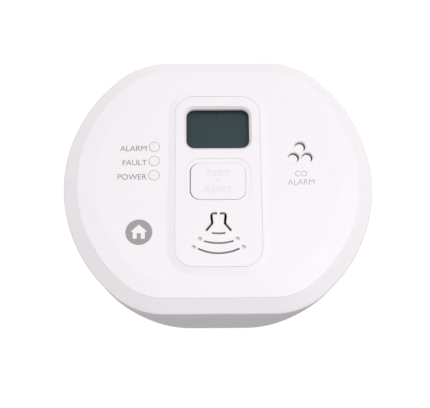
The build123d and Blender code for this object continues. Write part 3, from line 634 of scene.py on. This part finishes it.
pane = Finish("clear_pane", ior=1.49, coat_weight=0.2, coat_roughness=0.05, alpha=0.06)
pane.set(base_color=pane.noise(40.0, 2.0).mixed((0.20, 0.24, 0.25), (0.16, 0.20, 0.21)),
         roughness=0.10 + 0.05 * pane.noise(300.0, 3.0))
pane.relief(pane.noise(200.0, 2.0), 0.01 * MM, 0.2).cover("display_window")

guide = Finish("milky_guide", ior=1.5, subsurface_weight=0.2, subsurface_scale=0.002)
guide.set(base_color=guide.noise(300.0, 2.0).mixed((0.84, 0.86, 0.87), (0.78, 0.81, 0.83)),
          roughness=0.35 + 0.15 * guide.noise(1500.0, 2.0))
guide.relief(guide.cells(1800.0), 0.02 * MM, 0.4).cover("lcd_light_guide")

moulding("bezel_moulding", (0.030, 0.030, 0.032), (0.022, 0.022, 0.024), 0.5, 0.1 * MM).cover(
    "lcd_bezel")

layered = Finish("layered_rubber", ior=1.42)
along, _, _ = layered.axes()
layer = along.zigzag(layer_thickness) / layer_thickness
layered.set(base_color=(layer > 0.5).mixed((0.02, 0.02, 0.02), (0.42, 0.44, 0.48)),
            roughness=0.6 + 0.15 * layered.noise(2000.0, 2.0))
layered.relief(layer, 0.01 * MM, 0.4).cover("lcd_zebra_strips")


# ---- Status lights -------------------------------------------------------------------------------
# Three frosted light pipes, set in the cover over small lamps on the board. All are unlit, and
# each lamp has a faintly yellow dome on a pale moulded base.
lamp_base_height = 1.2 * MM
frosted = Finish("frosted_pipe", ior=1.49)
frosted.set(base_color=frosted.noise(350.0, 2.0).mixed((0.90, 0.88, 0.885), (0.86, 0.84, 0.845)),
            roughness=0.30 + 0.15 * frosted.noise(1600.0, 2.0))
frosted.relief(frosted.noise(2200.0, 2.0), 0.01 * MM, 0.4, 0.1 * MM)
frosted.cover("alarm_light_pipe", "fault_light_pipe", "power_light_pipe")

lamps = Finish("lamp_moulding", ior=1.52, subsurface_weight=0.3, subsurface_scale=0.001)
_, outward, _ = lamps.axes()
lamp_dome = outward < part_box("alarm_led")[1].y - lamp_base_height
lamps.set(base_color=lamp_dome.mixed((0.82, 0.81, 0.78), (0.86, 0.80, 0.52)),
          roughness=0.3 + 0.2 * lamps.noise(2500.0, 2.0))
lamps.relief(lamps.noise(3500.0, 2.0), 0.01 * MM, 0.3, 0.08 * MM).cover(
    "alarm_led", "fault_led", "power_led")


# ---- Front cover and button ----------------------------------------------------------------------
# The face of the alarm: white satin mouldings from one batch of plastic. The button is a separate
# moulding, a touch glossier from use.
face_white = (0.905, 0.868, 0.884)
face_shade = (0.895, 0.858, 0.874)
moulding("cover_moulding", face_white, face_shade, 0.36, 0.18 * MM).cover("front_cover")
moulding("button_moulding", face_white, face_shade, 0.33, 0.15 * MM).cover("test_button")


# ---- Printing on the face ------------------------------------------------------------------------
# Pad-printed grey words beside the lights and under the gas holes, and a plain pictogram of a house
# cut out of a disc. The button's words and mark are raised in its own plastic, coloured darker than
# the button as painted shade standing in for the shade round the raised letters.
film = 0.02 * MM
word_height = 2.3 * MM
word_inset = 0.1 * MM
word_drop = 0.55 * MM
cap_share = 0.70  # a capital's height as a share of the letters' size
panel_stands_out = 0.7 * MM
face_y = panel_y + panel_stands_out


def printing_ink(name, tone, shade, roughness):
    """A thin matt ink, slightly uneven in tone and gloss."""
    ink_coat = Finish(name, ior=1.5)
    ink_coat.set(base_color=ink_coat.noise(2200.0, 3.0).mixed(tone, shade),
                 roughness=roughness + 0.15 * ink_coat.noise(3000.0, 2.0))
    return ink_coat.relief(ink_coat.noise(5000.0, 2.0), 0.005 * MM, 0.4)


word_ink = printing_ink("grey_ink", (0.22, 0.215, 0.22), (0.26, 0.255, 0.26), 0.45)
pictogram_ink = printing_ink("mid_grey_ink", (0.32, 0.305, 0.32), (0.36, 0.345, 0.36), 0.42)
pale_ink = printing_ink("pale_grey_ink", (0.46, 0.46, 0.50), (0.50, 0.50, 0.54), 0.42)


def filled(curve):
    """The solid mesh of letters or of filled outlines, still lying flat."""
    shape = bpy.data.objects.new(curve.name, curve)
    bpy.context.scene.collection.objects.link(shape)
    mesh = bpy.data.meshes.new_from_object(
        shape.evaluated_get(bpy.context.evaluated_depsgraph_get()))
    bpy.data.objects.remove(shape)
    return mesh


def stood_on(name, mesh, place, finish, body):
    """Stands a flat mesh up on a face that looks along -Y, as a piece on a body."""
    mesh.transform(Matrix.Translation(place) @ Matrix.Rotation(math.radians(90), 4, "X"))
    mesh.materials.clear()
    mesh.materials.append(finish.material)
    printed = bpy.data.objects.new(name, mesh)
    bpy.context.scene.collection.objects.link(printed)
    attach(printed, body)


def words_on(name, words, cap_height, place, align, finish, body, width=None, thick=film):
    """A word in the standard letters, squeezed to a width where one is given."""
    letters = bpy.data.curves.new(name, "FONT")
    letters.body = words
    letters.size = cap_height / cap_share
    letters.align_x = align
    letters.extrude = thick / 2
    mesh = filled(letters)
    if width:
        xs = [vertex.co.x for vertex in mesh.vertices]
        mesh.transform(Matrix.Diagonal((width / (max(xs) - min(xs)), 1, 1, 1)))
    x, y, z = place
    stood_on(name, mesh, (x, y, z - cap_height / 2), finish, body)


for kind in ("alarm", "fault", "power"):
    pipe_low, pipe_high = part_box(f"{kind}_light_pipe")
    beside_pipe = (pipe_low.x + word_inset, face_y, (pipe_low.z + pipe_high.z) / 2 - word_drop)
    words_on(f"{kind}_word", kind.upper(), word_height, beside_pipe, "RIGHT", word_ink,
             "alarm")

gas_low, gas_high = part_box("sensor_filter")
gas_x = (gas_low.x + gas_high.x) / 2
gas_z = (gas_low.z + gas_high.z) / 2
for name, words, drop in (("gas_word", "CO", 8.3 * MM), ("gas_alarm_word", "ALARM", 11.8 * MM)):
    words_on(name, words, word_height, (gas_x, face_y, gas_z - drop), "CENTER", pale_ink,
             "alarm")


def flat_shape(name, outlines, place, finish, body, thick=film):
    """A thin solid of filled outlines, in millimetres, the later ones cut out of the first."""
    curve = bpy.data.curves.new(name, "CURVE")
    curve.dimensions = "2D"
    curve.fill_mode = "BOTH"
    curve.extrude = thick / 2
    for points in outlines:
        spline = curve.splines.new("POLY")
        spline.points.add(len(points) - 1)
        for point, (u, v) in zip(spline.points, points):
            point.co = (u * MM, v * MM, 0, 1)
        spline.use_cyclic_u = True
    stood_on(name, filled(curve), place, finish, body)


badge_radius = 5.1
badge_sides = 72
badge_place = (-30.2 * MM, face_y, -21.3 * MM)
disc = [(badge_radius * math.cos(2 * math.pi * i / badge_sides),
         badge_radius * math.sin(2 * math.pi * i / badge_sides)) for i in range(badge_sides)]
house = [(-2.3, -2.6), (2.3, -2.6), (2.3, 0.2), (3.2, 0.2), (0.0, 3.1), (-3.2, 0.2), (-2.3, 0.2)]
doorway = [(-0.75, -2.6), (0.75, -2.6), (0.75, -0.4), (-0.75, -0.4)]
flat_shape("house_badge", [disc, house], badge_place, pictogram_ink, "alarm")
flat_shape("house_door", [doorway], badge_place, pictogram_ink, "alarm")

button_low, button_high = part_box("test_button")
button_z = (button_low.z + button_high.z) / 2
raised_thickness = 0.12 * MM
raised_y = button_low.y - raised_thickness / 2
raised_height = 2.4 * MM
# Painted shade: the raised letters' plastic is darker than the button's, standing in for the shade
# round their edges.
painted_shade_embossing = moulding("embossed_letters_painted_shade", (0.83, 0.797, 0.812), (0.82, 0.787, 0.802), 0.36, 0.0)
for name, words, rise, spread in (("test_letters", "TEST", 3.4 * MM, 9.2 * MM),
                                  ("reset_letters", "RESET", -3.4 * MM, 10.2 * MM)):
    words_on(name, words, raised_height, (0.0, raised_y, button_z + rise), "CENTER", painted_shade_embossing,
             "test_button", spread, raised_thickness)
arrowhead = [(-0.8, 0.6), (0.0, -0.9), (0.8, 0.6)]
flat_shape("press_mark", [arrowhead], (0.0, raised_y, button_z), painted_shade_embossing,
           "test_button", raised_thickness)
